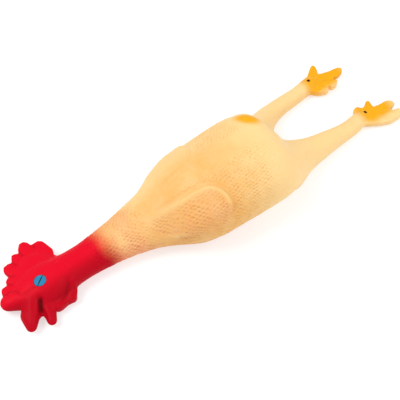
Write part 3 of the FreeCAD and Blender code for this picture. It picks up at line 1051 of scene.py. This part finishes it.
    def slice(self, casting: bpy.types.Object, section: Section) -> bpy.types.Object:
        """Cuts one section out of a copy of the casting.

        Args:
            casting: the whole skin.
            section: the length of it to keep.

        Returns:
            The section, closed at its cuts.
        """
        piece = copy_of(casting, section.name)
        edit(piece)
        cuts = [((section.low, 0, 0), (-1, 0, 0)), ((section.high, 0, 0), (1, 0, 0))]
        if section.side:
            cuts.append(((0, BETWEEN_LEGS, 0), (0, -section.side, 0)))
        for place, normal in cuts:
            bpy.ops.mesh.select_all(action="SELECT")
            bpy.ops.mesh.bisect(
                plane_co=Vector(place) * MM, plane_no=normal, use_fill=True, clear_outer=True, threshold=1e-6,
            )
            bpy.ops.mesh.faces_shade_flat()
        leave_edit()
        self.restore_normals(piece)
        return settle(piece, section.name)

    @staticmethod
    def restore_normals(piece: bpy.types.Object) -> None:
        """Gives the skin its normals from before it was cut, so that no cut shows."""
        mesh = piece.data
        kept = np.empty(len(mesh.vertices) * 3, np.float32)
        mesh.attributes["cast_normal"].data.foreach_get("vector", kept)
        corners = np.empty(len(mesh.loops), np.int32)
        mesh.loops.foreach_get("vertex_index", corners)
        totals = np.empty(len(mesh.polygons), np.int32)
        mesh.polygons.foreach_get("loop_total", totals)
        flat = np.array([not polygon.use_smooth for polygon in mesh.polygons])
        normals = kept.reshape(-1, 3)[corners]
        normals[np.repeat(flat, totals)] = 0
        mesh.normals_split_custom_set(normals.tolist())

    def build(self, material: bpy.types.Material) -> bpy.types.Object:
        """Casts the skin and cuts it into its sections.

        Args:
            material: the finish of the skin.

        Returns:
            The whole casting, which the eyes are laid onto before it is removed.
        """
        casting = self.melt()
        self.mould(casting)
        self.pierce(casting)
        casting.data.materials.clear()
        casting.data.materials.append(material)
        casting.data.polygons.foreach_set("use_smooth", [True] * len(casting.data.polygons))
        self.mark(casting)
        for section in SECTIONS:
            piece = self.slice(casting, section)
            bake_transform(piece)
            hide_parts(*section.stands_for)
            log.info("%s: %d faces", piece.name, len(piece.data.polygons))
        return casting


@dataclass(frozen=True)
class EyePatch:
    """One layer of an eye: an oval of paint laid on the skin."""

    name: str
    finish: PlainFinish
    long: float
    wide: float
    turn: float
    proud: float
    rings: int = 7


@dataclass
class Eyes:
    """An oval on each side of the head: a dark edge, the paint and a thin line across it."""

    thick: float = 0.5
    layers: tuple[EyePatch, ...] = (
        EyePatch("edge", PlainFinish("eye_edge", srgb(96, 16, 40), 0.5), 6.5, 6.0, EYE_TURN, 0.06),
        EyePatch("paint", PlainFinish("eye_blue", srgb(0, 122, 166), 0.45, spread=0.2, scale=260),
                 5.9, 5.4, EYE_TURN, 0.16),
        EyePatch("line", PlainFinish("eye_line", srgb(8, 16, 36), 0.5), 6.0, 0.6, math.radians(31), 0.24, 1),
    )

    def patch(self, casting: bpy.types.Object, layer: EyePatch, name: str, upper: bool) -> bpy.types.Object:
        """One layer of an eye, laid onto the skin from above or from below.

        Args:
            casting: the skin that it is laid onto.
            layer: its size, turn and finish.
            name: name of the piece.
            upper: True for the eye that faces up.

        Returns:
            The finished piece.
        """
        bpy.ops.mesh.primitive_circle_add(vertices=56, radius=1, fill_type="NGON")
        patch = bpy.context.object
        edit(patch)
        for _ in range(layer.rings):
            bpy.ops.mesh.inset(thickness=0.12)
        bpy.ops.mesh.poke()
        leave_edit()
        place = read_points(patch) * MM
        cos, sin = math.cos(layer.turn), math.sin(layer.turn)
        along, across = place[:, 0] * layer.long, place[:, 1] * layer.wide
        height = np.full(len(place), 60.0 if upper else -30.0)
        write_points(patch, np.column_stack(
            [along * cos - across * sin + EYE[0], along * sin + across * cos + EYE[1], height]
        ))
        finish_with(
            patch, "SHRINKWRAP", target=casting, wrap_method="PROJECT", use_project_z=True,
            use_negative_direction=upper, use_positive_direction=not upper, offset=layer.proud * MM,
        )
        if not upper:
            edit(patch)
            bpy.ops.mesh.flip_normals()
            leave_edit()
        finish_with(patch, "SOLIDIFY", thickness=self.thick * MM, offset=-1)
        only(patch)
        bpy.ops.object.shade_smooth_by_angle(angle=math.radians(50))
        return settle(patch, name)

    def build(self, casting: bpy.types.Object) -> None:
        """Makes both eyes."""
        for side, upper in (("right_eye", True), ("left_eye", False)):
            for layer in self.layers:
                piece = self.patch(casting, layer, f"{side}_{layer.name}", upper)
                piece.data.materials.append(layer.finish.build())
                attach(piece, "head")
                log.info("%s made", piece.name)
            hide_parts(side)


@dataclass
class SqueakerRim:
    """The latex rim that grips the squeaker in its pocket."""

    inner: float = 12.1
    outer: float = 15.7
    low: float = 0.5
    high: float = 12.6

    def build(self, material: bpy.types.Material) -> None:
        """Makes the rim as a ring with rounded edges."""
        x, y, _, _ = POCKET
        rim = cylinder((x, y, (self.low + self.high) / 2), self.outer, self.high - self.low, 64)
        settle(rim, "squeaker_rim")
        cut_away(rim, cylinder((x, y, 0), self.inner, 60, 64), "EXACT")
        finish_with(rim, "BEVEL", width=0.5 * MM, segments=2, limit_method="ANGLE")
        only(rim)
        bpy.ops.object.shade_smooth_by_angle(angle=math.radians(40))
        rim.data.materials.append(material)
        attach(rim, "trunk")
        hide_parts("squeaker_socket")
        log.info("%s made", rim.name)


@dataclass
class Studio:
    """A plain pale floor, soft light and the camera."""

    azimuth: float = -37.0
    elevation: float = 56.0
    distance: float = 0.915
    target: tuple[float, float, float] = (-0.020, 0.0, 0.019)
    lights: tuple[tuple[str, tuple[float, float, float], float, float], ...] = (
        ("key", (-0.9, 0.5, 1.5), 1.0, 17.0),
        ("fill", (0.9, -1.0, 1.2), 1.2, 11.0),
    )

    def floor(self) -> None:
        """Lays the floor."""
        bpy.ops.mesh.primitive_plane_add(size=8)
        floor = settle(bpy.context.object, "studio_floor")
        material, nodes = new_material("floor_white")
        nodes.surface(
            Base_Color=(0.45, 0.45, 0.45, 1), Roughness=0.9, Specular_IOR_Level=0.1,
            Emission_Color=(1, 1, 1, 1), Emission_Strength=0.57,
        )
        floor.data.materials.append(material)

    def camera(self) -> None:
        """Sets the camera on the object."""
        turn, rise = math.radians(self.azimuth), math.radians(self.elevation)
        back = Vector((math.sin(turn) * math.cos(rise), -math.cos(turn) * math.cos(rise), math.sin(rise)))
        data = bpy.data.cameras.new("camera")
        data.lens = 80
        data.sensor_width = 36
        camera = bpy.data.objects.new("camera", data)
        camera.location = Vector(self.target) + back * self.distance
        camera.rotation_euler = back.to_track_quat("Z", "Y").to_euler()
        bpy.context.scene.collection.objects.link(camera)
        bpy.context.scene.camera = camera

    def build(self) -> None:
        """Sets the room up."""
        self.floor()
        self.camera()
        for name, place, size, power in self.lights:
            data = bpy.data.lights.new(name, "AREA")
            data.shape = "DISK"
            data.size = size
            data.energy = power
            light = bpy.data.objects.new(name, data)
            light.location = place
            light.rotation_euler = (Vector(place) - Vector(self.target)).to_track_quat("Z", "Y").to_euler()
            bpy.context.scene.collection.objects.link(light)
        world = bpy.data.worlds.new("world")
        world.use_nodes = True
        world.node_tree.nodes["Background"].inputs[0].default_value = (1, 1, 1, 1)
        world.node_tree.nodes["Background"].inputs[1].default_value = 0.75
        bpy.context.scene.world = world
        bpy.context.scene.view_settings.view_transform = "Standard"


def dress_squeaker() -> None:
    """Gives the squeaker's own parts their plastics."""
    plastic = PlainFinish("squeaker_plastic", srgb(236, 236, 228), 0.35).build()
    film = PlainFinish("reed_film", srgb(240, 222, 170), 0.3).build()
    finishes = {name: plastic for name in ("squeaker_case", "squeaker_cap", "reed_block", "reed_wedge")}
    finishes["reed"] = film
    for name, material in finishes.items():
        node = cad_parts[name]
        node.data.materials.clear()
        node.data.materials.append(material)
        log.info("%s dressed", name)


def main() -> None:
    """Builds the chicken and the studio, and reports each piece."""
    logging.basicConfig(level=logging.INFO, format="%(name)s %(message)s")
    latex = SprayedLatex().build(mottling_group(), grain_group())
    casting = Casting().build(latex)
    Eyes().build(casting)
    bpy.data.objects.remove(casting)
    SqueakerRim().build(latex)
    dress_squeaker()
    Studio().build()


if __name__ == "__main__":
    main()
